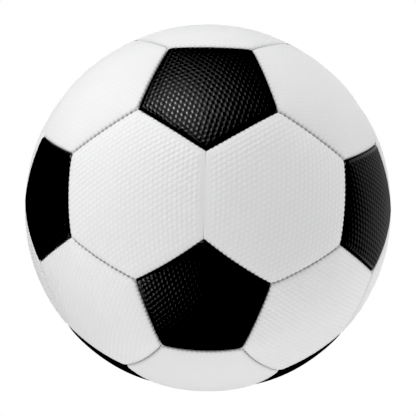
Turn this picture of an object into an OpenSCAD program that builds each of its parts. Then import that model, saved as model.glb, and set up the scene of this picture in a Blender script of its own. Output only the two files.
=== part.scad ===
// Stitched 32 panel soccer ball: 12 black pentagons and 20 white hexagons, each a
// cover tray with inward stitching flanges, its own foam pad and cloth lining, drawn
// together by thread around a rubber bladder with a needle valve.
// Origin at the centre of the ball, +Z up, millimetres.

/* [Ball] */
// outside diameter over the panels
ball_d = 220; // [180:1:270]
// clear width between two neighbouring flanges
seam_gap = 0.2; // [0.1:0.05:0.5]
// radius that a panel edge is rolled to where it turns into the seam
edge_r = 3.4; // [2:0.1:5]

/* [Panel layers] */
// thickness of the outer cover
cover_t = 1.2; // [0.8:0.1:1.8]
// thickness of the stitching flange
flange_t = 1.1; // [0.8:0.1:1.4]
// thickness of the foam pad under the cover
foam_t = 2.2; // [1.5:0.1:3]
// thickness of the glued cloth lining
lining_t = 1.2; // [0.8:0.1:1.6]
// clearance between one layer and the next
layer_gap = 0.05; // [0.03:0.01:0.1]

/* [Stitching] */
// stitches along each seam
stitch_n = 15; // [6:1:15]
// diameter of the waxed thread
thread_d = 0.8; // [0.6:0.1:1]
// free length between the last stitch and the corner
corner_free = 3.5; // [3:0.5:7]

/* [Bladder and valve] */
// wall of the rubber bladder
bladder_t = 0.8; // [0.5:0.1:1.2]
// outside radius of the valve housing
housing_r = 4.2; // [3.5:0.1:5.1]
// length of the valve housing
housing_len = 14.3; // [12:0.1:16]
// radius of the needle channel
needle_r = 1; // [0.8:0.1:1.2]
// radius of the patch that joins the housing to the bladder
patch_r = 18; // [14:0.5:20]
// radius of the stiff ring around the housing in the foam layer
ring_r = 13; // [10:0.5:16]
// depth of the valve head below the cover
valve_sink = 0.7; // [0.4:0.1:1]

/* [Hidden] */
ball_r = ball_d / 2;
golden = (1 + sqrt(5)) / 2;
// The twelve pentagon centres are the corners of an icosahedron of edge 2.
pents = [for (s = [-1, 1], t = [-1, 1]) each [[0, s * golden, t], [s, 0, t * golden],
    [s * golden, t, 0]]];
// Neighbours lie one edge apart, and the next nearest centres over 3 apart.
near_reach = 2.1;
function near(a, b) = norm(a - b) < near_reach;
// Each hexagon sits between three neighbouring pentagons.
hexes = [for (i = [0:9], j = [i + 1:10], k = [j + 1:11])
    if (near(pents[i], pents[j]) && near(pents[j], pents[k]) && near(pents[i], pents[k]))
        [pents[i], pents[j], pents[k]]];
// The valve goes in the hexagon that looks to the back, the left and up.
valve_dir = [-1, 1, 1];
function middle(h) = h[0] + h[1] + h[2];
function at_valve(h) = norm(cross(middle(h), valve_dir)) < 0.1 && middle(h) * valve_dir > 0;
valve_hex = [for (h = hexes) if (at_valve(h)) h][0];
plain_hexes = [for (h = hexes) if (!at_valve(h)) h];
neighbour = [for (p = pents) [for (q = pents) if (near(p, q) && norm(p - q) > 1) q][0]];
// A seam is the arc between two corners, and a corner is a third of the way along
// the line between two pentagon centres.
function corner(p, q) = (2 * p + q) / 3;
hexagon_seams = [for (i = [0:10], j = [i + 1:11]) if (near(pents[i], pents[j]))
    [corner(pents[i], pents[j]), corner(pents[j], pents[i])]];
pentagon_seams = [for (h = hexes, i = [0:2])
    [corner(h[i], h[(i + 1) % 3]), corner(h[i], h[(i + 2) % 3])]];
// Distances from the ball's centre to a corner and to the middle of a side, counted in
// panel edges, then the angle from a panel's centre to its side and half a seam's angle.
corner_reach = norm(2 * pents[0] + neighbour[0]) / 2;
side_reach = sqrt(corner_reach * corner_reach - 1 / 4);
pent_tilt = asin(1 / (2 * tan(180 / 5)) / side_reach);
hex_tilt = asin(1 / (2 * tan(180 / 6)) / side_reach);
seam_half = asin(1 / (2 * corner_reach));
// How far a cutting shape runs past what it cuts.
past = 2;
// The roll's centre is set out a little, so it meets the cover and the flange at an angle.
roll_centre = 0.92 * edge_r;
roll_cut = 0.75 * edge_r;
foam_out = ball_r - cover_t - layer_gap;
lining_out = foam_out - foam_t - layer_gap;
flange_in = lining_out - lining_t - 2 * layer_gap;
bladder_r = flange_in - layer_gap;
// Thread lies flat along the inside face of each flange, so the pads stop short of it.
thread_flat = 0.7;
thread_spread = 0.2;
pad_clear = 0.2;
hole_clear = 0.1;
run_t = thread_flat * thread_d;
run_w = thread_d + thread_spread;
run_off = seam_gap / 2 + flange_t + layer_gap;
pad_inset = run_off + run_t + pad_clear;
hole_r = thread_d / 2 + hole_clear;
stitch_r = (ball_r - cover_t + flange_in) / 2;
stitch_span = seam_half - asin(corner_free / stitch_r);
// Degrees that a run of thread goes past the last stitch at each end.
run_end = 0.5;
big = 2 * ball_d;
// Valve: walls and steps of the housing, its collar inside the bladder, and its core.
fit_gap = 0.05;
part_gap = 0.1;
cut_gap = 0.2;
core_sink = 0.2;
head_wall = 0.9;
head_t = 1;
stem_wall = 1.6;
lip_w = 0.6;
floor_t = 1.5;
collar_w = 4.8;
collar_t = 1.4;
mouth_t = 0.5;
valve_top = ball_r - valve_sink;
housing_bottom = valve_top - housing_len;
socket_r = housing_r + part_gap;
head_r = housing_r - head_wall;
stem_r = housing_r - stem_wall;
lip_r = needle_r + lip_w;
collar_r = housing_r + collar_w;
collar_top = sqrt(pow(bladder_r - bladder_t, 2) - collar_r * collar_r) - part_gap;
black_cover = [0.03, 0.03, 0.035];
white_cover = [0.92, 0.92, 0.92];
foam_white = [0.86, 0.84, 0.78];
cloth = [0.8, 0.77, 0.68];
thread_white = [0.9, 0.89, 0.85];
rubber_black = [0.08, 0.08, 0.08];
rubber_tan = [0.5, 0.4, 0.28];

// Local +Z to the direction out, local +X towards the direction side.
module facing(out, side) {
    z = out / norm(out);
    flat = side - (side * z) * z;
    x = flat / norm(flat);
    y = cross(z, x);
    multmatrix([[x[0], y[0], z[0], 0], [x[1], y[1], z[1], 0], [x[2], y[2], z[2], 0]])
        children();
}

// Local +Z to the middle of the seam, local +X square to the seam's plane.
module on_seam(seam) {
    facing(seam[0] + seam[1], cross(seam[0], seam[1])) children();
}

// Ball with its poles on X, so that neither pole falls on a panel's middle.
module orb(r) {
    rotate([0, 90, 0]) sphere(r, $fn = 120);
}

// Piece of a shell inside planes through the centre, each moved in by inset.
module plate(r_out, r_in, sides, tilt, inset) {
    difference() {
        orb(r_out);
        orb(r_in);
        for (i = [0:sides - 1])
            rotate([0, 0, 360 * i / sides]) rotate([0, tilt, 0])
                translate([-inset, -big / 2, -big / 2]) cube(big);
    }
}

// Ring that rolls the edge of a panel, in the frame of one side plane.
module edge_roll() {
    rotate([0, 90, 0]) rotate_extrude($fn = 180) difference() {
        translate([ball_r - roll_cut, -seam_gap / 2 - roll_cut]) square(roll_cut + past);
        translate([ball_r - roll_centre, -seam_gap / 2 - roll_centre])
            circle(edge_r, $fn = 48);
    }
}

module stitch_row(r, len) {
    for (i = [0:stitch_n - 1])
        rotate([stitch_span * (2 * i / (stitch_n - 1) - 1), 0, 0])
            translate([0, 0, stitch_r]) rotate([0, 90, 0])
                cylinder(h = len, r = r, center = true, $fn = 16);
}

// Cover tray: outer skin, rolled edges and flanges drilled for the thread.
module panel(sides, tilt) {
    difference() {
        plate(ball_r, flange_in, sides, tilt, seam_gap / 2);
        plate(ball_r - cover_t, flange_in - past, sides, tilt, seam_gap / 2 + flange_t);
        for (i = [0:sides - 1])
            rotate([0, 0, 360 * i / sides]) rotate([0, tilt, 0]) {
                edge_roll();
                stitch_row(hole_r, 2 * flange_t + past);
            }
    }
}

module pentagon(i) {
    color(black_cover) facing(pents[i], neighbour[i]) rotate([0, 0, 180 / 5])
        panel(5, pent_tilt);
}

module hexagon(h) {
    color(white_cover) facing(middle(h), h[0]) panel(6, hex_tilt);
}

module at_valve_hex() {
    facing(middle(valve_hex), valve_hex[0]) children();
}

module valve_hexagon() {
    color(white_cover) at_valve_hex() difference() {
        panel(6, hex_tilt);
        cylinder(h = big, r = socket_r, $fn = 48);
    }
}

module foam_pad(sides, tilt) {
    plate(foam_out, foam_out - foam_t, sides, tilt, pad_inset);
}

module lining_ply(sides, tilt) {
    plate(lining_out, lining_out - lining_t, sides, tilt, pad_inset);
}

module on_pentagons() {
    for (i = [0:11]) facing(pents[i], neighbour[i]) rotate([0, 0, 180 / 5]) children();
}

module on_plain_hexagons() {
    for (h = plain_hexes) facing(middle(h), h[0]) children();
}

module pentagon_foam_pads() {
    color(foam_white) on_pentagons() foam_pad(5, pent_tilt);
}

module hexagon_foam_pads() {
    color(foam_white) on_plain_hexagons() foam_pad(6, hex_tilt);
    color(foam_white) at_valve_hex() difference() {
        foam_pad(6, hex_tilt);
        cylinder(h = big, r = ring_r + cut_gap, $fn = 72);
    }
}

module pentagon_lining_plies() {
    color(cloth) on_pentagons() lining_ply(5, pent_tilt);
}

module hexagon_lining_plies() {
    color(cloth) on_plain_hexagons() lining_ply(6, hex_tilt);
    color(cloth) at_valve_hex() difference() {
        lining_ply(6, hex_tilt);
        cylinder(h = big, r = patch_r + cut_gap, $fn = 72);
    }
}

// Thread of one seam: a run along each flange, tied through every hole.
module seam_thread(seam) {
    arc = 2 * (stitch_span + run_end);
    on_seam(seam) {
        for (s = [0, 1])
            mirror([s, 0, 0]) translate([run_off, 0, 0]) rotate([0, 90, 0])
                rotate([0, 0, 180 - arc / 2]) rotate_extrude(angle = arc, $fn = 240)
                    translate([stitch_r - run_w / 2, 0]) square([run_w, run_t]);
        stitch_row(thread_d / 2, 2 * run_off + run_t);
    }
}

module pentagon_seam_thread() {
    color(thread_white) for (s = pentagon_seams) seam_thread(s);
}

module hexagon_seam_thread() {
    color(thread_white) for (s = hexagon_seams) seam_thread(s);
}

// Stiff ring that keeps the foam off the housing.
module valve_stiffener_ring() {
    color(cloth) at_valve_hex() difference() {
        intersection() {
            orb(foam_out);
            cylinder(h = big, r = ring_r, $fn = 72);
        }
        orb(foam_out - foam_t);
        cylinder(h = big, r = socket_r, $fn = 48);
    }
}

module valve_patch() {
    color(rubber_black) at_valve_hex() difference() {
        intersection() {
            orb(lining_out - part_gap);
            cylinder(h = big, r = patch_r, $fn = 72);
        }
        orb(bladder_r + layer_gap);
        cylinder(h = big, r = socket_r, $fn = 48);
    }
}

module valve_housing() {
    color(rubber_black) at_valve_hex() difference() {
        union() {
            translate([0, 0, housing_bottom]) cylinder(h = housing_len, r = housing_r, $fn = 48);
            translate([0, 0, collar_top - collar_t]) cylinder(h = collar_t, r = collar_r, $fn = 60);
        }
        translate([0, 0, housing_bottom + floor_t])
            cylinder(h = housing_len, r = stem_r + fit_gap, $fn = 48);
        translate([0, 0, valve_top - head_t - fit_gap])
            cylinder(h = housing_len, r = head_r + fit_gap, $fn = 48);
        translate([0, 0, housing_bottom - past]) cylinder(h = housing_len, r = lip_r, $fn = 36);
    }
}

module valve_core() {
    stem_bottom = housing_bottom + floor_t + fit_gap;
    color(rubber_tan) at_valve_hex() difference() {
        union() {
            translate([0, 0, stem_bottom])
                cylinder(h = valve_top - core_sink - stem_bottom, r = stem_r, $fn = 48);
            translate([0, 0, valve_top - head_t])
                cylinder(h = head_t - core_sink, r = head_r, $fn = 48);
        }
        translate([0, 0, stem_bottom - past])
            cylinder(h = housing_len + 2 * past, r = needle_r, $fn = 36);
        translate([0, 0, valve_top - core_sink - mouth_t])
            cylinder(h = 2 * mouth_t, r1 = needle_r, r2 = needle_r + 2 * mouth_t, $fn = 36);
    }
}

module bladder() {
    color(rubber_black) at_valve_hex() difference() {
        orb(bladder_r);
        orb(bladder_r - bladder_t);
        cylinder(h = big, r = socket_r, $fn = 48);
    }
}

pentagon(0);  // black_pentagon_01
pentagon(1);  // black_pentagon_02
pentagon(2);  // black_pentagon_03
pentagon(3);  // black_pentagon_04
pentagon(4);  // black_pentagon_05
pentagon(5);  // black_pentagon_06
pentagon(6);  // black_pentagon_07
pentagon(7);  // black_pentagon_08
pentagon(8);  // black_pentagon_09
pentagon(9);  // black_pentagon_10
pentagon(10);  // black_pentagon_11
pentagon(11);  // black_pentagon_12
hexagon(plain_hexes[0]);  // white_hexagon_01
hexagon(plain_hexes[1]);  // white_hexagon_02
hexagon(plain_hexes[2]);  // white_hexagon_03
hexagon(plain_hexes[3]);  // white_hexagon_04
hexagon(plain_hexes[4]);  // white_hexagon_05
hexagon(plain_hexes[5]);  // white_hexagon_06
hexagon(plain_hexes[6]);  // white_hexagon_07
hexagon(plain_hexes[7]);  // white_hexagon_08
hexagon(plain_hexes[8]);  // white_hexagon_09
hexagon(plain_hexes[9]);  // white_hexagon_10
hexagon(plain_hexes[10]);  // white_hexagon_11
hexagon(plain_hexes[11]);  // white_hexagon_12
hexagon(plain_hexes[12]);  // white_hexagon_13
hexagon(plain_hexes[13]);  // white_hexagon_14
hexagon(plain_hexes[14]);  // white_hexagon_15
hexagon(plain_hexes[15]);  // white_hexagon_16
hexagon(plain_hexes[16]);  // white_hexagon_17
hexagon(plain_hexes[17]);  // white_hexagon_18
hexagon(plain_hexes[18]);  // white_hexagon_19
valve_hexagon();  // white_hexagon_valve
pentagon_foam_pads();
hexagon_foam_pads();
pentagon_lining_plies();
hexagon_lining_plies();
pentagon_seam_thread();
hexagon_seam_thread();
valve_stiffener_ring();
valve_patch();
valve_housing();
valve_core();
bladder();
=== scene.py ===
import math

import bmesh
import bpy
import numpy as np
from mathutils import Matrix, Vector


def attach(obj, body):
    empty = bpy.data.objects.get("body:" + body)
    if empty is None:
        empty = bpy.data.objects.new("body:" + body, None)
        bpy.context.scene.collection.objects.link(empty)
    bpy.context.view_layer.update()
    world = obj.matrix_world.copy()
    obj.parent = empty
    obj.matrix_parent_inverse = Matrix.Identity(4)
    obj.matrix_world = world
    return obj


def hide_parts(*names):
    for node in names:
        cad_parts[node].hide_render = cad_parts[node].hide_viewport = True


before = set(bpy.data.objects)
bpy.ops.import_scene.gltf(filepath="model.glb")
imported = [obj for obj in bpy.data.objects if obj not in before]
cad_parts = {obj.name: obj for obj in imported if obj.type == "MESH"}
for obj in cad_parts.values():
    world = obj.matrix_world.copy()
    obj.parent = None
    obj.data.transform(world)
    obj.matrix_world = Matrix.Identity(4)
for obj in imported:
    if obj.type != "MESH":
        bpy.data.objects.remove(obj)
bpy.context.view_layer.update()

mm = 0.001
ballRadius = 110.0  # millimetres, as is every size below unless it says otherwise
golden = (1 + math.sqrt(5)) / 2
cornerReach = math.sqrt(58 + 18 * math.sqrt(5)) / 4  # centre to corner, in panel edges
seamHalf = ballRadius * math.asin(0.5 / cornerReach)  # half a seam, along the surface
front = Vector((0, -1, 0))
samePoint = 0.99  # directions with a cosine above this are the same one


# Node trees: one helper adds any node, with its settings and what feeds it.
def add(tree, kind, feeds=None, **settings):
    node = tree.nodes.new(kind)
    for name, value in settings.items():
        setattr(node, name, value)
    for socket, value in (feeds or {}).items():
        if isinstance(value, bpy.types.NodeSocket):
            tree.links.new(value, node.inputs[socket])
        else:
            node.inputs[socket].default_value = value
    return node


def linear(hexCode):
    values = [int(hexCode[i:i + 2], 16) / 255 for i in (0, 2, 4)]
    curve = [v / 12.92 if v <= 0.04045 else ((v + 0.055) / 1.055) ** 2.4 for v in values]
    return (*curve, 1.0)


def startMaterial(name):
    material = bpy.data.materials.new(name)
    material.use_nodes = True
    material.node_tree.nodes.clear()
    return material, material.node_tree


def noiseScale(grain):
    return 1 / (grain * mm)  # one noise cell for each grain


# Panel layout: 12 pentagons at the corners of an icosahedron, 20 hexagons between them.
pentagonCentres = [Vector(c).normalized() for s in (-1, 1) for t in (-golden, golden)
                   for c in ((0, t, s), (s, 0, t), (t, s, 0))]
neighbourDot = 0.4  # neighbouring pentagons are at 0.447, the next at -0.447
hexagonCentres = []
for i, a in enumerate(pentagonCentres):
    for j, b in enumerate(pentagonCentres[i + 1:], i + 1):
        for c in pentagonCentres[j + 1:]:
            if min(a.dot(b), b.dot(c), a.dot(c)) > neighbourDot:
                hexagonCentres.append((a + b + c).normalized())


def nodeDirection(name):
    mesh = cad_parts[name].data
    co = np.zeros(len(mesh.vertices) * 3)
    mesh.vertices.foreach_get("co", co)
    return Vector(co.reshape(-1, 3).mean(0)).normalized()


def panelAxes(centre, sides):
    # columns: the middle of side 0, the way round from it, and out through the panel
    order = sorted(pentagonCentres, key=lambda p: (-round(centre.dot(p), 4), p.x, p.y, p.z))
    near = next(p for p in order if p.dot(centre) < samePoint)
    side = (near - near.dot(centre) * centre).normalized()
    axes = Matrix((side, centre.cross(side), centre)).transposed()
    return axes @ Matrix.Rotation(math.pi / 5, 3, "Z") if sides == 5 else axes


# How the sewing has drawn the seams out of the regular pattern.
drawn = {
    # pull along X, Y and Z, and between each two of them, as shares of the radius
    "stretch": ((-0.0238, 0.0081, 0.0011), (0.0081, 0.0387, 0.0359), (0.0011, 0.0359, -0.0149)),
    "stretchStart": 0.35,  # share of the radius towards the back where the stretch begins
    "stretchSpan": 0.75,  # and how much further forward it is whole
    "bow": 0.3,  # a pentagon's sides are pulled straight by this much at their middle
    "slip": 4.0,  # seams high and low on the front have slipped down at their middle
    "slipStart": -0.1,  # share of the radius towards the front where the slip begins
    "slipFull": 0.5,  # and where it is whole
    "slipRise": 1.5,  # how steeply it grows with the height above or below the middle
    "bowReach": 9.0,  # how far into a panel a bowed seam draws the leather
    "sag": 0.5,  # the middle of a seam lies this much deeper than its ends
    "sagReach": 7.0,
}


def handStretch(points):
    # slides points along the surface: a sewn ball is never quite regular
    radius = np.linalg.norm(points, axis=1)[:, None]
    unit = points / radius
    share = np.clip((drawn["stretchStart"] - unit[:, 1:2]) / drawn["stretchSpan"], 0, 1)
    moved = unit + (unit @ np.array(drawn["stretch"])) * share * share * (3 - 2 * share)
    return moved / np.linalg.norm(moved, axis=1)[:, None] * radius


def seamSlip(mids, normals):
    # how far the middle of each seam has slipped along its normal
    share = smoothStep(-mids[:, 1], drawn["slipStart"], drawn["slipFull"])
    share = share * np.abs(mids[:, 2]) ** drawn["slipRise"]
    return -drawn["slip"] * normals[:, 2] * share


class PanelField:
    # a panel's sides as planes through the centre, and each point's place between them
    def __init__(self, sides):
        self.inradius = math.cos(math.pi / sides)
        self.circum = 1 / cornerReach / (2 * math.sin(math.pi / sides))
        self.height = math.sqrt(1 - self.circum ** 2)
        self.tilt = math.atan2(self.circum * self.inradius, self.height)
        turns = 2 * math.pi * np.arange(sides) / sides
        self.flatOut = np.c_[np.cos(turns), np.sin(turns)]
        up = np.full((sides, 1), 1.0)
        self.normals = np.hstack((self.flatOut * math.cos(self.tilt), -up * math.sin(self.tilt)))
        self.mids = np.hstack((self.flatOut * math.sin(self.tilt), up * math.cos(self.tilt)))
        self.alongs = np.cross(self.normals, self.mids)
        # a pentagon's sides go in, a hexagon's go out to them, and the others stay
        self.bowSigns = np.full(5, -1.0) if sides == 5 else np.array((1.0, 0.0) * 3)

    def rings(self, flat):
        # 0 at the panel's middle and 1 on its sides
        return np.clip((flat @ self.flatOut.T).max(1) / self.inradius, 1e-9, 1)

    def place(self, flat):
        # flat panel of circumradius 1 to directions on the unit ball
        out = np.c_[flat * self.circum, np.full(len(flat), self.height)]
        out /= np.linalg.norm(out, axis=1)[:, None]
        away = ballRadius * np.arcsin(np.clip(-(self.normals @ out.T), -1, 1))
        along = ballRadius * np.arctan2(self.alongs @ out.T, self.mids @ out.T)
        return out, away, along

    def bowShift(self, away, along, axes):
        # moves the points near a seam with it, where it is bowed or has slipped
        turned = np.array(axes).T
        slip = seamSlip(self.mids @ turned, self.normals @ turned)
        amount = (drawn["bow"] * self.bowSigns + slip)[:, None]
        reach = np.exp(-np.clip(away, 0, None) / drawn["bowReach"])
        return (amount * bowCurve(along) * reach).T @ self.normals


def bowCurve(along):
    # 1 at the middle of a seam and 0 at its ends
    return np.clip(1 - (along / seamHalf) ** 2, 0, 1)


def smoothLeast(values, width):
    return -width * np.log(np.exp(-values / width).sum(0))


def smoothStep(values, low, high):
    share = np.clip((values - low) / (high - low), 0, 1)
    return share * share * (3 - 2 * share)


# Emboss of the rolled grain, three crossed waves that leave a lattice of raised ovals.
emboss = {
    "rowPitch": 2.52,  # from one row of dots to the next
    "waves": ((0, 0.45), (60, 0.40), (120, 0.15)),  # degrees and share of each wave
    "dotLow": -0.7,  # a dot rises between these two sums of the waves
    "dotHigh": 0.75,
    "marginStart": 1.5,  # the border along a seam is plain up to here
    "marginEnd": 3.2,
    "relief": 0.035,  # in the mesh, the rest is in the materials
    "mapSpan": 115.0,  # one unit of the map
    "usualDepth": 0.85,  # share of the full depth on a panel that isn't listed
}
# Front panels by direction: the way the sheet was laid in degrees, where None is at random,
# and how deep the roll bit as a share.
sheets = (
    ((0, -golden, 1), 165, 1.0),
    ((0, -golden, -1), 139, 1.0),
    ((1, -golden ** 2, 0), 120, 1.0),
    ((-1, -golden ** 2, 0), 120, 1.0),
    ((golden, -1, 0), None, 0.6),
    ((-1, -1, 1), None, 0.3),
    ((1, -1, 1), None, 0.4),
    ((0, -1, -golden ** 2), None, 0.3),
)
listedDot = 0.93  # a panel is the listed one when their cosine is above this

# One cover panel: the roll of the leather into the seam, its stitches and its folds.
cover = {
    "rollWidth": 1.5,  # the leather turns in over this much of its edge
    "rollDrop": 0.95,
    "rollBlend": 0.9,  # rounds the roll at the corners
    "crownDrop": 0.4,  # the panel's middle stands this much prouder than its edge
    "crownReach": 6.0,
    "crownKept": 0.5,  # share of the crown that stays beside a seam that was pressed flat
    "seamGap": 0.03,  # half the gap between two panels
    "stitchGap": 0.20,  # and how much wider the seam is at a stitch
    "gapReach": 1.0,
    "gapSpan": 3.0,  # the gap moves nothing further in than this
    "stitchPull": 0.30,
    "pullReach": 1.3,
    # how far the painted shade of a stitch hole spreads
    "stitchShadeReach": 0.7,
    "shadeReach": 0.5,
    "stitches": 17,
    "stitchSharpness": 2.0,
    "cornerFree": 2.5,  # no stitch this close to a corner
    "cornerPull": 0.12,  # the tip of a corner is drawn in by this
    "cornerSpread": 2.0,
    "wave": 0.05,  # slow swells in the leather
    "waveCount": 5,
    "waveTurns": (10, 34),  # radians over one radius of the ball
    "wavePhase": 6.3,  # a full turn
    "waveMargin": 6.0,  # they fade out this close to a seam
    "wallDepth": 2.6,
    "flangeDepth": 4.7,
    "flangeWidth": 1.1,
    "rimRing": 0.99,  # the flange is cut from the part of the panel outside this ring
    "rimSpan": 0.5,  # and only along its own seam, this close to it
    "skin": 1.25,
    "undersideScales": (0.9, 0.89, 0.875, 0.857),  # rings of the inside, clear of the flange
    "edgeCrowding": 0.5,  # rings of the mesh crowd towards the seam, and 1 spaces them evenly
    "looseness": 0.25,  # how much seams differ
    "looseTurns": (7.0, 4.0, 9.0),  # how fast that changes along X, Y and Z
    "openReach": 2.0,  # how far into the panel one seam's openness counts
    "flatSeam": 0.985,  # share of the seam at the front that was pressed flat
    "flatStart": 0.97,  # cosine to the front where a seam starts to be flat
    "flatFull": 0.995,
    "valveHole": 0.0887,  # radius, in the panel's own circumradius
    "valveRing": 0.07,  # the rings inside this one are taken out for the hole
    "roundStart": 0.5,  # rings are the panel's outline outside this one
    "roundFull": 0.2,  # and round inside this one
    "seed": 32,
}
seedStep = 40  # keeps the seeds of pentagons and hexagons apart
panelCuts = 89
# folds of the turned in edge, from the face to the inside
foldCode = {"wall": -1, "hem": -2, "hemInside": -3, "underside": -4}
# place of the folds on the map, where 1 is the edge of the face
mapFold = {"first": 1.02, "step": 0.02, "inward": 0.1, "leastRing": 0.05, "fanCorner": 0.985}


def flatPanel(sides, cuts):
    # circumradius 1, the middle of side 0 on the X axis
    bm = bmesh.new()
    bmesh.ops.create_circle(bm, cap_ends=True, segments=sides, radius=1)
    bmesh.ops.poke(bm, faces=bm.faces[:])
    bmesh.ops.subdivide_edges(bm, edges=bm.edges[:], cuts=cuts, use_grid_fill=True)
    turn = Matrix.Rotation(math.pi / sides - math.pi / 2, 3, "Z")
    bmesh.ops.rotate(bm, verts=bm.verts[:], matrix=turn)
    return bm


def cutCentre(bm, sides, cuts, ringIndex):
    # takes out the middle rings, and the rest is rounded to the hole later
    field = PanelField(sides)
    limit = (ringIndex - 0.5) / (cuts + 1)
    inside = [v for v in bm.verts if field.rings(np.array([v.co[:2]]))[0] < limit]
    bmesh.ops.delete(bm, geom=inside, context="VERTS")


def extrudeEdges(bm, edges, scale, code):
    made = bmesh.ops.extrude_edge_only(bm, edges=edges)["geom"]
    for v in made:
        if isinstance(v, bmesh.types.BMVert):
            v.co = Vector((v.co.x * scale, v.co.y * scale, code))
    return [e for e in made if isinstance(e, bmesh.types.BMEdge) and e.is_boundary]


def coverTemplate(sides, cuts, ringIndex=0):
    # the face is at z 0, and the turned in edge carries its fold's code in z
    bm = flatPanel(sides, cuts)
    if ringIndex:
        cutCentre(bm, sides, cuts, ringIndex)
    rim = [e for e in bm.edges if e.is_boundary]
    if ringIndex:
        halfway = 0.5  # from the hole to the panel's rim
        hole = [e for e in rim if e.verts[0].co.length < halfway]
        rim = [e for e in rim if e.verts[0].co.length >= halfway]
        extrudeEdges(bm, hole, 1, foldCode["underside"])
    folds = [("wall", 1), ("hem", 1), ("hemInside", 1), ("underside", 1)]
    folds += [("underside", scale) for scale in cover["undersideScales"]]
    for fold, scale in folds:
        rim = extrudeEdges(bm, rim, scale, foldCode[fold])
    if ringIndex:
        bmesh.ops.bridge_loops(bm, edges=[e for e in bm.edges if e.is_boundary])
    else:
        filled = bmesh.ops.contextual_create(bm, geom=rim)
        bmesh.ops.poke(bm, faces=filled["faces"])
    bmesh.ops.recalc_face_normals(bm, faces=bm.faces[:])
    return bm


def toMesh(bm, name):
    mesh = bpy.data.meshes.new(name)
    bm.to_mesh(mesh)
    bm.free()
    return mesh


def readPoints(mesh):
    co = np.zeros(len(mesh.vertices) * 3)
    mesh.vertices.foreach_get("co", co)
    return co.reshape(-1, 3)


def writePoints(mesh, local, axes):
    world = handStretch(local @ np.array(axes).T) * mm
    mesh.vertices.foreach_set("co", world.astype(np.float32).ravel())
    mesh.polygons.foreach_set("use_smooth", [True] * len(mesh.polygons))
    mesh.update()


def roundToHole(flat, field, ringMin, holeSize):
    # rings near the middle turn from the panel's outline to the round hole
    radius = np.hypot(flat[:, 0], flat[:, 1])
    rings = field.rings(flat)
    blend = smoothStep(-rings, -cover["roundStart"], -cover["roundFull"])
    target = radius * (1 - blend) + (holeSize + np.maximum(rings - ringMin, 0)) * blend
    return flat * (target / np.maximum(radius, 1e-9))[:, None]


def laidSheet(centre, axes, rng):
    # how the emboss is turned on this panel, and its depth
    turn, depth = rng.uniform(0, 2 * math.pi), emboss["usualDepth"]
    for direction, degrees, rolledDepth in sheets:
        if centre.dot(Vector(direction).normalized()) > listedDot:
            depth = rolledDepth
            if degrees is not None:
                across = (Vector((1, 0, 0)) - centre.x * centre).normalized()
                wanted = Matrix.Rotation(math.radians(degrees), 3, centre) @ across
                turn = -math.atan2(wanted.dot(axes.col[1]), wanted.dot(axes.col[0]))
    return turn, depth


def embossDots(place, nearest):
    total = 0
    for degrees, share in emboss["waves"]:
        a = math.radians(degrees)
        along = place @ (math.cos(a), math.sin(a))
        total = total + share * np.cos(2 * math.pi / emboss["rowPitch"] * along)
    dots = smoothStep(total, emboss["dotLow"], emboss["dotHigh"])
    return dots * smoothStep(nearest, emboss["marginStart"], emboss["marginEnd"])


def crownDepth(away, along):
    # the panel falls towards its seams, and deepest at the middle of each
    near = np.clip(away, 0, None)
    sag = (drawn["sag"] * bowCurve(along) * np.exp(-near / drawn["sagReach"])).max(0)
    return cover["crownDrop"] * np.exp(-near.min(0) / cover["crownReach"]) + sag


def seamOpenings(field, axes, away):
    # how open each seam is, and what that makes at each point of the panel: they differ a
    # little, and the one in the middle of the front was pressed flat
    mids = field.mids @ np.array(axes).T
    seams = 1 + cover["looseness"] * np.sin(mids @ np.array(cover["looseTurns"]))
    pressed = smoothStep(mids @ np.array(front), cover["flatStart"], cover["flatFull"])
    seams = seams * (1 - cover["flatSeam"] * pressed)
    weight = np.exp(-np.clip(away, 0, None) / cover["openReach"])
    return seams, (weight * seams[:, None]).sum(0) / weight.sum(0)


def stitchBeat(along, seams):
    # 1 at each stitch and 0 between two, and how it fades at the corners
    pitch = 2 * seamHalf / cover["stitches"]
    beat = (0.5 + 0.5 * np.cos(2 * math.pi * along / pitch)) ** cover["stitchSharpness"]
    return beat, np.clip((seamHalf - np.abs(along)) / cover["cornerFree"], 0, 1) * seams[:, None]


def edgeRoll(away, openness):
    # a quarter round where the leather turns in
    turned = np.clip(smoothLeast(away, cover["rollBlend"]), 0, None) / cover["rollWidth"]
    turned = np.clip(1 - turned, 0, 1)
    return cover["rollDrop"] * (1 - np.sqrt(np.clip(1 - turned ** 2, 0, 1))) * openness


def slowSwell(out, nearest, rng):
    # the leather is never quite even
    swell = sum(np.sin((out @ rng.normal(size=3)) * rng.uniform(*cover["waveTurns"])
                       + rng.uniform(0, cover["wavePhase"])) for _ in range(cover["waveCount"]))
    swell = swell / cover["waveCount"]
    return cover["wave"] * swell * np.clip(nearest / cover["waveMargin"], 0, 1)


def cornerDraw(out, away, along):
    # the tip of each corner is drawn towards the panel's middle
    cornerGap = np.sqrt(np.clip(away, 0, None) ** 2 + (seamHalf - np.abs(along)) ** 2).min(0)
    inward = np.array([0, 0, 1.0]) - out * out[:, 2:3]
    inward /= np.maximum(np.linalg.norm(inward, axis=1), 1e-6)[:, None]
    return inward, cover["cornerPull"] * np.exp(-cornerGap / cover["cornerSpread"])


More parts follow.
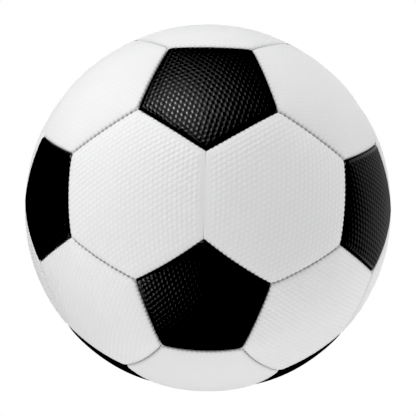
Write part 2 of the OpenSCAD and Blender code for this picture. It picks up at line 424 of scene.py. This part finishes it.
def shapeCover(mesh, sides, centre, seed, holeSize=0.0):
    s = cover
    rng = np.random.default_rng(seed)
    field = PanelField(sides)
    axes = panelAxes(centre, sides)
    turn, depth = laidSheet(centre, axes, rng)
    points = readPoints(mesh)
    flat, code = points[:, :2], np.round(points[:, 2])
    face = code == 0
    ring = field.rings(flat)
    # rings crowd towards the seam, where the panel turns in
    crowded = 1 - (1 - ring) * (s["edgeCrowding"] + (1 - s["edgeCrowding"]) * (1 - ring))
    flat = flat * np.where(face, crowded / ring, 1)[:, None]
    if holeSize:
        flat = roundToHole(flat, field, field.rings(flat)[face].min(), holeSize)
    out, away, along = field.place(flat)
    near = np.clip(away, 0, None)
    nearest = near.min(0)

    seams, openness = seamOpenings(field, axes, away)
    crown = crownDepth(away, along) * (s["crownKept"] + (1 - s["crownKept"]) * openness)
    drop = edgeRoll(away, openness)
    drop += crown
    # a stitch draws the edge in and down, and the leather swells between two of them
    beat, fade = stitchBeat(along, seams)
    drop += s["stitchPull"] * (np.exp(-near / s["pullReach"]) * beat * fade).sum(0)
    # painted shade at each stitch hole, for the colour only, not the shape
    stitchHoleShade = (np.exp(-near / s["stitchShadeReach"]) * beat * fade).sum(0)
    drop += slowSwell(out, nearest, rng)

    # map for the emboss, unfolded about the panel's middle
    polar = np.arccos(np.clip(out[:, 2], -1, 1)) * ballRadius
    heading = np.arctan2(out[:, 1], out[:, 0]) + turn
    compass = np.c_[np.cos(heading), np.sin(heading)]
    drop -= emboss["relief"] * depth * embossDots(compass * polar[:, None], nearest) * face

    depths = {"wall": s["wallDepth"], "hem": s["flangeDepth"], "hemInside": s["flangeDepth"],
              "underside": s["skin"] + crown}
    for fold, foldDepth in depths.items():
        drop = np.where(code == foldCode[fold], foldDepth, drop)
    place = out * (ballRadius - drop)[:, None]

    # the edge stands back from the seam, and the inside of the flange by its width
    gap = s["seamGap"] * seams[:, None] + s["stitchGap"] * beat * fade
    reach = np.where(face[None, :], np.exp(-near / s["gapReach"]), 1.0)
    shift = np.where(code[None, :] >= foldCode["hem"], gap * reach * (away < s["gapSpan"]), 0)
    inner = (code <= foldCode["hemInside"]) & (ring > s["rimRing"])
    shift = np.where(inner[None, :] & (away < s["rimSpan"]), s["flangeWidth"], shift)
    place -= shift.T @ field.normals
    place += field.bowShift(away, along, axes)
    inward, cornerPull = cornerDraw(out, away, along)
    place += inward * (cornerPull * face)[:, None]
    writePoints(mesh, place, axes)

    # the folds unfold outside the face, so that no part of the map lies on another
    rimPolar = polar / np.clip(ring, mapFold["leastRing"], 1)
    foldPlace = mapFold["first"] - mapFold["step"] * code + mapFold["inward"] * (1 - ring)
    polar = np.where(face, polar, rimPolar * foldPlace)
    writeMap(mesh, 0.5 + compass * (polar / emboss["mapSpan"])[:, None], ring, code)
    # painted shade for the colour: a band along each open seam, and a spot at each stitch hole
    seamShade = (1 - smoothStep(nearest, 0, s["shadeReach"])) * np.clip(openness, 0, 1)
    for name, values in (("seamDistance", np.where(face, nearest, 0)),
                         ("seamShade", np.where(face, seamShade, 1)),
                         ("stitchPaintedShade", np.clip(stitchHoleShade, 0, 1)),
                         ("panelTone", np.full(len(out), rng.uniform(0, 1))),
                         ("embossDepth", np.full(len(out), depth))):
        layer = mesh.attributes.new(name, "FLOAT", "POINT")
        layer.data.foreach_set("value", values.astype(np.float32))


def writeMap(mesh, uv, ring, code):
    loops = np.zeros(len(mesh.loops), dtype=np.int32)
    mesh.loops.foreach_get("vertex_index", loops)
    totals = np.zeros(len(mesh.polygons), dtype=np.int32)
    mesh.polygons.foreach_get("loop_total", totals)
    corners = uv[loops]
    # the fan of faces that closes the inside goes to one corner of the map
    owner = np.repeat(np.arange(len(totals)), totals)
    fan = np.zeros(len(totals), bool)
    fan[owner[(ring[loops] < 1e-6) & (code[loops] < 0)]] = True
    corners[fan[owner]] = mapFold["fanCorner"]
    layer = mesh.uv_layers.new(name="OFBake")
    layer.data.foreach_set("uv", corners.astype(np.float32).ravel())


def embossNodes(tree):
    # gives the raised dots, and the plain border that has none
    whole = add(tree, "ShaderNodeUVMap", uv_map="OFBake").outputs["UV"]
    # the map's middle is at a half, and the waves peak at the panel's middle as in the mesh
    uv = add(tree, "ShaderNodeVectorMath", {0: whole, 1: (0.5, 0.5, 0)},
             operation="SUBTRACT").outputs[0]
    turns = 2 * math.pi * emboss["mapSpan"] / emboss["rowPitch"]
    total = 0.0
    for degrees, share in emboss["waves"]:
        a = math.radians(degrees)
        along = (math.cos(a) * turns, math.sin(a) * turns, 0)
        phase = add(tree, "ShaderNodeVectorMath", {0: uv, 1: along}, operation="DOT_PRODUCT")
        wave = add(tree, "ShaderNodeMath", {0: phase.outputs["Value"]}, operation="COSINE")
        total = add(tree, "ShaderNodeMath", {0: wave.outputs[0], 1: share, 2: total},
                    operation="MULTIPLY_ADD").outputs[0]
    dots = add(tree, "ShaderNodeMapRange", {
        "Value": total, "From Min": emboss["dotLow"], "From Max": emboss["dotHigh"]},
        interpolation_type="SMOOTHSTEP")
    distance = add(tree, "ShaderNodeAttribute", attribute_name="seamDistance").outputs["Fac"]
    margin = add(tree, "ShaderNodeMapRange", {
        "Value": distance, "From Min": emboss["marginStart"], "From Max": emboss["marginEnd"]},
        interpolation_type="SMOOTHSTEP")
    rolled = add(tree, "ShaderNodeAttribute", attribute_name="embossDepth").outputs["Fac"]
    inside = add(tree, "ShaderNodeMath", {0: margin.outputs[0], 1: rolled}, operation="MULTIPLY")
    both = add(tree, "ShaderNodeMath", {0: dots.outputs[0], 1: inside.outputs[0]},
               operation="MULTIPLY")
    plain = add(tree, "ShaderNodeMath", {0: 1.0, 1: margin.outputs[0]}, operation="SUBTRACT")
    return both.outputs[0], plain.outputs[0]


def coatedLeather(name, look):
    material, tree = startMaterial(name)
    dots, plain = embossNodes(tree)
    place = add(tree, "ShaderNodeTexCoord").outputs["Object"]
    blotch = add(tree, "ShaderNodeTexNoise", {
        "Vector": place, "Scale": noiseScale(look["blotch"]), "Detail": 3.0}).outputs["Fac"]
    grain = add(tree, "ShaderNodeTexNoise", {
        "Vector": place, "Scale": noiseScale(look["grain"]), "Detail": 2.0}).outputs["Fac"]
    tone = add(tree, "ShaderNodeAttribute", attribute_name="panelTone").outputs["Fac"]
    wear = add(tree, "ShaderNodeMix", {
        "Factor": look["panelShare"], "A": blotch, "B": tone}).outputs[0]
    share = add(tree, "ShaderNodeMath", {0: wear, 1: look["toneShare"]},
                operation="MULTIPLY").outputs[0]
    body = add(tree, "ShaderNodeMix", {
        "Factor": share, 6: linear(look["base"]), 7: linear(look["worn"])},
        data_type="RGBA").outputs[2]
    # painted shade: the colour darkens at each stitch hole, along an open seam and a little between the
    # dots, where shade would fall
    # painted shade along an open seam
    shade = add(tree, "ShaderNodeAttribute", attribute_name="seamShade").outputs["Fac"]
    near = add(tree, "ShaderNodeMath", {0: shade, 1: look["seamPaintedShade"]},
               operation="MULTIPLY").outputs[0]
    # painted shade between the dots, deepest where the dots are lowest
    low = add(tree, "ShaderNodeMath", {0: dots, 1: -look["valleyShade"], 2: look["valleyShade"]},
              operation="MULTIPLY_ADD").outputs[0]
    # painted shade at each stitch hole
    stitchHoleShade = add(tree, "ShaderNodeAttribute", attribute_name="stitchPaintedShade").outputs["Fac"]
    seamAndStitchShade = add(tree, "ShaderNodeMath", {0: stitchHoleShade, 1: look["stitchHoleShade"], 2: near},
                operation="MULTIPLY_ADD").outputs[0]
    # all the painted shade together, which mixes the colour towards the shade colour
    paintedShade = add(tree, "ShaderNodeMath", {0: seamAndStitchShade, 1: low},
               operation="ADD", use_clamp=True).outputs[0]
    colour = add(tree, "ShaderNodeMix", {
        "Factor": paintedShade, 6: body, 7: linear(look["paintedShade"])}, data_type="RGBA").outputs[2]
    # the plain border along a seam is as smooth as the dots
    smooth = add(tree, "ShaderNodeMath", {0: dots, 1: plain}, operation="ADD", use_clamp=True)
    gloss = add(tree, "ShaderNodeMapRange", {
        "Value": smooth.outputs[0], "To Min": look["roughLow"], "To Max": look["roughDot"]}).outputs[0]
    rough = add(tree, "ShaderNodeMath", {0: blotch, 1: look["roughSpread"], 2: gloss},
                operation="MULTIPLY_ADD").outputs[0]
    pores = add(tree, "ShaderNodeBump", {
        "Height": grain, "Strength": 1.0, "Distance": look["poreDepth"] * mm}).outputs[0]
    bump = add(tree, "ShaderNodeBump", {
        "Height": dots, "Normal": pores, "Strength": 1.0, "Distance": look["dotHeight"] * mm}).outputs[0]
    shader = add(tree, "ShaderNodeBsdfPrincipled", {
        "Base Color": colour, "Roughness": rough, "Normal": bump,
        "Specular IOR Level": look["specular"]})
    add(tree, "ShaderNodeOutputMaterial", {"Surface": shader.outputs[0]})
    return material


# White polyurethane coated leather, rolled with a dotted grain: matt, nearly no highlight.
whiteLook = {
    "base": "f4f4f5", "worn": "dededf", "toneShare": 0.5, "panelShare": 0.4,
    # the painted shade: its colour, and how much lies along an open seam, at each stitch hole and
    # between the dots
    "paintedShade": "7c7c7d", "seamPaintedShade": 0.15, "stitchHoleShade": 0.6, "valleyShade": 0.07,
    "roughDot": 0.42, "roughLow": 0.55, "roughSpread": 0.08, "specular": 0.35,
    "dotHeight": 0.14, "blotch": 30.0, "grain": 0.3, "poreDepth": 0.006,
}
# The same sheet in black, with a higher gloss, so each dot carries a small bright oval.
blackLook = {
    "base": "020202", "worn": "000000", "toneShare": 0.7, "panelShare": 0.4,
    # the painted shade: its colour, and how much lies along an open seam, at each stitch hole and
    # between the dots
    "paintedShade": "010101", "seamPaintedShade": 0.8, "stitchHoleShade": 0.3, "valleyShade": 0.3,
    "roughDot": 0.25, "roughLow": 0.66, "roughSpread": 0.08, "specular": 0.5,
    "dotHeight": 0.15, "blotch": 30.0, "grain": 0.3, "poreDepth": 0.006,
}
whiteLeather = coatedLeather("whitePolyurethaneLeather", whiteLook)
blackLeather = coatedLeather("blackPolyurethaneLeather", blackLook)


def linkPiece(mesh, name, node, material):
    piece = bpy.data.objects.new(name, mesh)
    bpy.context.scene.collection.objects.link(piece)
    mesh.materials.clear()
    mesh.materials.append(material)
    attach(piece, "root")
    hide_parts(node)
    return piece


pentagonNodes = sorted(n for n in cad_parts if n.startswith("black_pentagon"))
hexagonNodes = sorted(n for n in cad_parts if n.startswith("white_hexagon"))
for sides, nodes, centres, material, slot in (
        (5, pentagonNodes, pentagonCentres, blackLeather, "black_cover"),
        (6, hexagonNodes, hexagonCentres, whiteLeather, "white_cover")):
    template = toMesh(coverTemplate(sides, panelCuts), "coverTemplate")
    for index, node in enumerate(nodes):
        direction = nodeDirection(node)
        centre = max(centres, key=lambda c: c.dot(direction))
        seed = cover["seed"] + index + seedStep * sides
        if node.endswith("valve"):
            ringIndex = round(cover["valveRing"] * (panelCuts + 1))
            mesh = toMesh(coverTemplate(sides, panelCuts, ringIndex), node + "_cover")
            shapeCover(mesh, sides, centre, seed, cover["valveHole"])
        else:
            mesh = template.copy()
            mesh.name = node + "_cover"
            shapeCover(mesh, sides, centre, seed)
        linkPiece(mesh, node + "_cover", node, material)
    bpy.data.meshes.remove(template)
    print("panels done:", len(nodes), "of", sides, "sides")


# Materials of what lies inside, each from a noise of its own grain.
def innerMaterial(name, look):
    material, tree = startMaterial(name)
    place = add(tree, "ShaderNodeTexCoord").outputs["Object"]
    grain = add(tree, "ShaderNodeTexNoise", {
        "Vector": place, "Scale": noiseScale(look["grain"]), "Detail": 4.0}).outputs["Fac"]
    colour = add(tree, "ShaderNodeMix", {
        "Factor": grain, 6: linear(look["light"]), 7: linear(look["dark"])},
        data_type="RGBA").outputs[2]
    bump = add(tree, "ShaderNodeBump", {
        "Height": grain, "Strength": 1.0, "Distance": look["depth"] * mm}).outputs[0]
    shader = add(tree, "ShaderNodeBsdfPrincipled", {
        "Base Color": colour, "Normal": bump, "Roughness": look["rough"]})
    add(tree, "ShaderNodeOutputMaterial", {"Surface": shader.outputs[0]})
    return material


foam = innerMaterial("closedCellFoam", {  # matt, with fine open cells where it was split
    "light": "e9e8e4", "dark": "d4d2cb", "rough": 0.9, "grain": 0.7, "depth": 0.06})
lining = innerMaterial("wovenPolycotton", {  # matt cloth stiff with latex
    "light": "d9d6cc", "dark": "bdb9ac", "rough": 0.85, "grain": 1.0, "depth": 0.05})
thread = innerMaterial("waxedPolyesterThread", {  # a dull shine from the wax
    "light": "eceae3", "dark": "d2cfc4", "rough": 0.45, "grain": 0.4, "depth": 0.03})
boardRing = innerMaterial("pressedFibreBoard", {
    "light": "cdc4ad", "dark": "b1a78e", "rough": 0.8, "grain": 1.2, "depth": 0.04})
butyl = innerMaterial("curedButylRubber", {  # grey black, dusted with talc
    "light": "262627", "dark": "151516", "rough": 0.62, "grain": 2.5, "depth": 0.02})
mouldedRubber = innerMaterial("mouldedBlackRubber", {  # smoother, from a steel mould
    "light": "1b1b1c", "dark": "101011", "rough": 0.42, "grain": 1.1, "depth": 0.01})
softRubber = innerMaterial("softTanRubber", {
    "light": "8b7450", "dark": "6e5a3c", "rough": 0.5, "grain": 1.1, "depth": 0.01})
nodeMaterials = {"valve_stiffener_ring": boardRing, "valve_patch": butyl, "bladder": butyl,
                 "valve_housing": mouldedRubber, "valve_core": softRubber}
for node, material in nodeMaterials.items():
    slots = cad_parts[node].data.materials
    slots.clear()
    slots.append(material)

# Foam pads and lining plies, cut a little smaller than their panels.
layerCut = {"inset": 2.2, "edgeRound": 0.5, "roundReach": 0.6, "cuts": 11}
# top and bottom are depths under the ball's surface, and the foam follows the panel's crown
foamPad = {"top": 1.36, "bottom": 3.45, "hole": 13.2, "crowned": True}
liningPly = {"top": 3.5, "bottom": 4.7, "hole": 18.2, "crowned": False}


def layerMesh(sides, centre, layer, drilled, index):
    cuts = layerCut["cuts"]
    field = PanelField(sides)
    bm = flatPanel(sides, cuts)
    if drilled:
        flatInradius = field.circum * field.inradius * ballRadius
        cutCentre(bm, sides, cuts, round(layer["hole"] / flatInradius * (cuts + 1)))
    bmesh.ops.extrude_face_region(bm, geom=bm.faces[:], use_keep_orig=True)
    bm.verts.ensure_lookup_table()
    half = len(bm.verts) // 2
    for v in bm.verts[half:]:
        v.co.z = 1
    bmesh.ops.recalc_face_normals(bm, faces=bm.faces[:])
    mesh = toMesh(bm, "layer%d" % index)
    points = readPoints(mesh)
    isTop = points[:, 2] > 0.5
    shrink = math.tan(field.tilt - layerCut["inset"] / ballRadius) / math.tan(field.tilt)
    flat = points[:, :2] * shrink
    if drilled:
        turn = layer["hole"] / (ballRadius - layer["top"])
        holeFlat = math.tan(turn) * field.height / field.circum
        flat = roundToHole(flat, field, field.rings(flat).min(), holeFlat)
    out, away, along = field.place(flat)
    top = layer["top"]
    if layer["crowned"]:
        nearest = np.clip(away.min(0), 0, None)
        rounded = layerCut["edgeRound"] * np.exp(-(nearest - layerCut["inset"]) / layerCut["roundReach"])
        top = top + (crownDepth(away, along) + rounded)
    depth = np.where(isTop, top, layer["bottom"])
    axes = panelAxes(centre, sides)
    place = out * (ballRadius - depth)[:, None] + field.bowShift(away, along, axes)
    writePoints(mesh, place, axes)
    return mesh


def joinMeshes(meshes, name):
    bm = bmesh.new()
    for mesh in meshes:
        bm.from_mesh(mesh)
        bpy.data.meshes.remove(mesh)
    bmesh.ops.recalc_face_normals(bm, faces=bm.faces[:])
    joined = toMesh(bm, name)
    joined.polygons.foreach_set("use_smooth", [True] * len(joined.polygons))
    return joined


valveCentre = max(hexagonCentres, key=lambda c: c.dot(nodeDirection("white_hexagon_valve")))
for kind, sides, centres in (("pentagon", 5, pentagonCentres), ("hexagon", 6, hexagonCentres)):
    for node, slot, material, layer in (
            (kind + "_foam_pads", "foam", foam, foamPad),
            (kind + "_lining_plies", "lining_cloth", lining, liningPly)):
        meshes = [layerMesh(sides, centre, layer, centre == valveCentre, i)
                  for i, centre in enumerate(centres)]
        piece = linkPiece(joinMeshes(meshes, node + "_cut"), node + "_cut", node, material)
print("pads and plies done")

# Lock stitches: a rod of thread through both flanges, tied along each by a short run.
stitching = {
    "radius": 0.4, "sides": 8, "stitches": 15,
    "reach": 1.7,  # to each side of the seam
    "depth": 3.1,  # under the ball's surface
    "endFree": 3.5,  # from a corner to the first stitch
}


def threadRod(bm, start, end):
    span = end - start
    place = Matrix.Translation((start + end) / 2) @ span.to_track_quat("Z", "Y").to_matrix().to_4x4()
    bmesh.ops.create_cone(bm, cap_ends=True, segments=stitching["sides"], radius1=stitching["radius"],
                          radius2=stitching["radius"], depth=span.length, matrix=place)


def seamStitches():
    # one seam's thread, with X across the seam, Y along it and Z out of the ball
    s = stitching
    depthRadius = ballRadius - s["depth"]
    span = math.asin(0.5 / cornerReach) - s["endFree"] / depthRadius
    rods = []
    for i in range(s["stitches"]):
        angle = span * (2 * i / (s["stitches"] - 1) - 1)
        spot = Vector((0, math.sin(angle), math.cos(angle))) * depthRadius
        reach = Vector((s["reach"], 0, 0))
        rods.append((spot - reach, spot + reach))
    bm = bmesh.new()
    for start, end in rods:
        threadRod(bm, start, end)
    for (a, b), (c, d) in zip(rods, rods[1:]):
        threadRod(bm, a, c)
        threadRod(bm, b, d)
    return toMesh(bm, "seamStitches")


def sewSeam(template, first, second, bowTo):
    mid = (first + second).normalized()
    ahead = (second - first).normalized()
    across = ahead.cross(mid)
    if bowTo is not None and across.dot(bowTo) < 0:
        ahead, across = -ahead, -across
    slip = seamSlip(np.array([mid]), np.array([across]))[0]
    bow = slip + (0 if bowTo is None else drawn["bow"])
    mesh = template.copy()
    points = readPoints(mesh)
    points[:, 0] += bow * bowCurve(ballRadius * np.arctan2(points[:, 1], points[:, 2]))
    writePoints(mesh, points, Matrix((across, ahead, mid)).transposed())
    return mesh


def panelCorner(a, b):
    return (2 * a + b).normalized()


pentagonSeams, hexagonSeams = [], []
for i, a in enumerate(pentagonCentres):
    around = [p for p in pentagonCentres if neighbourDot < a.dot(p) < samePoint]
    for b in around:
        if pentagonCentres.index(b) > i:
            hexagonSeams.append((panelCorner(a, b), panelCorner(b, a), None))
        for c in around:
            if neighbourDot < b.dot(c) < samePoint and around.index(c) > around.index(b):
                pentagonSeams.append((panelCorner(a, b), panelCorner(a, c), a))
template = seamStitches()
for node, seams in (("pentagon_seam_thread", pentagonSeams), ("hexagon_seam_thread", hexagonSeams)):
    mesh = joinMeshes([sewSeam(template, *seam) for seam in seams], node + "_stitches")
    linkPiece(mesh, node + "_stitches", node, thread)
    print("stitches done:", node, len(seams), "seams")


# Studio: a white cove behind the ball, wide lights that leave no highlight, and four that do.
cove = {"radius": 6.0, "floor": -1.2, "segments": 48}  # metres, as is all of the studio
bm = bmesh.new()
bmesh.ops.create_uvsphere(bm, u_segments=cove["segments"], v_segments=cove["segments"] // 2,
                          radius=cove["radius"])
bmesh.ops.bisect_plane(bm, geom=bm.verts[:] + bm.edges[:] + bm.faces[:],
                       plane_co=(0, 0, cove["floor"]), plane_no=(0, 0, -1), clear_outer=True)
bmesh.ops.holes_fill(bm, edges=[e for e in bm.edges if e.is_boundary])
whiteCove = bpy.data.objects.new("whiteCove", toMesh(bm, "whiteCove"))
bpy.context.scene.collection.objects.link(whiteCove)
covePaint, tree = startMaterial("whiteCovePaint")
glow = add(tree, "ShaderNodeEmission", {"Color": (1, 1, 1, 1), "Strength": 1.0})
add(tree, "ShaderNodeOutputMaterial", {"Surface": glow.outputs[0]})
whiteCove.data.materials.append(covePaint)
# only the camera sees the cove, so it doesn't light the ball from every side
for ray in ("visible_diffuse", "visible_glossy", "visible_transmission", "visible_shadow"):
    setattr(whiteCove, ray, False)

# the fill light from all sides lifts the shadows but doesn't show in the black panels
fillStrength = 0.34
world = bpy.data.worlds.new("studio")
bpy.context.scene.world = world
world.use_nodes = True
world.node_tree.nodes["Background"].inputs["Color"].default_value = (1, 1, 1, 1)
world.node_tree.nodes["Background"].inputs["Strength"].default_value = fillStrength
world.cycles_visibility.glossy = False

# direction, distance, size, energy in watts, and whether it shows as a highlight
lights = {
    "topTent": ((0.0, 0.15, 1.0), 2.0, 1.4, 2.5, False),
    "leftTent": ((-1.0, -0.20, 0.45), 2.0, 1.4, 10, False),
    "rightTent": ((1.0, 0.0, 0.20), 2.0, 1.4, 14, False),
    "floorTent": ((0.25, -0.15, -1.0), 2.0, 1.4, 21, False),
    "backTent": ((0.1, 1.0, 0.2), 2.0, 1.4, 14, False),
    "keySoftbox": ((-0.29, -0.61, 0.75), 1.3, 0.33, 9, True),
    "lowSoftbox": ((-0.68, -0.42, -0.60), 1.3, 0.4, 3.8, True),
    "rightStrip": ((0.88, 0.47, 0.10), 1.8, 2.4, 9, True),
    "backSoftbox": ((0.45, 0.85, 0.55), 1.8, 0.7, 1.2, True),
}
# the key light is an oval, its long way turned to lie across the upper front
keyOval = {"stretch": 1.9, "turn": 55}
for name, (direction, distance, size, energy, inGloss) in lights.items():
    data = bpy.data.lights.new(name, "AREA")
    data.shape = "DISK"
    data.size = size
    data.energy = energy
    light = bpy.data.objects.new(name, data)
    bpy.context.scene.collection.objects.link(light)
    light.location = Vector(direction).normalized() * distance
    light.rotation_euler = (-light.location).to_track_quat("-Z", "Y").to_euler()
    if name == "keySoftbox":
        data.shape = "ELLIPSE"
        data.size_y = size * keyOval["stretch"]
        light.rotation_euler.rotate_axis("Z", math.radians(keyOval["turn"]))
    light.visible_glossy = inGloss

# azimuth, elevation and roll in degrees, distance in ball radii, lens and sensor in millimetres
cameraSetup = {"azimuth": 0.45, "elevation": -5.13, "roll": 1.59, "distance": 4.182,
               "lens": 64.48, "sensor": 36}
camera = bpy.data.objects.new("camera", bpy.data.cameras.new("camera"))
bpy.context.scene.collection.objects.link(camera)
bpy.context.scene.camera = camera
camera.data.lens = cameraSetup["lens"]
camera.data.sensor_width = cameraSetup["sensor"]
yaw = math.radians(cameraSetup["azimuth"])
pitch = math.radians(cameraSetup["elevation"])
roll = math.radians(cameraSetup["roll"])
towards = Vector((math.sin(yaw) * math.cos(pitch), -math.cos(yaw) * math.cos(pitch), math.sin(pitch)))
camera.location = towards * cameraSetup["distance"] * ballRadius * mm
aim = (-towards).to_track_quat("-Z", "Y").to_matrix()
camera.rotation_euler = (aim @ Matrix.Rotation(roll, 3, "Z")).to_euler()

blackPoint = 0.013  # deep shadows come out as full black
view = bpy.context.scene.view_settings
view.view_transform = "Standard"
view.use_curve_mapping = True
view.curve_mapping.black_level = (blackPoint,) * 3
view.curve_mapping.update()
print("studio and camera done")
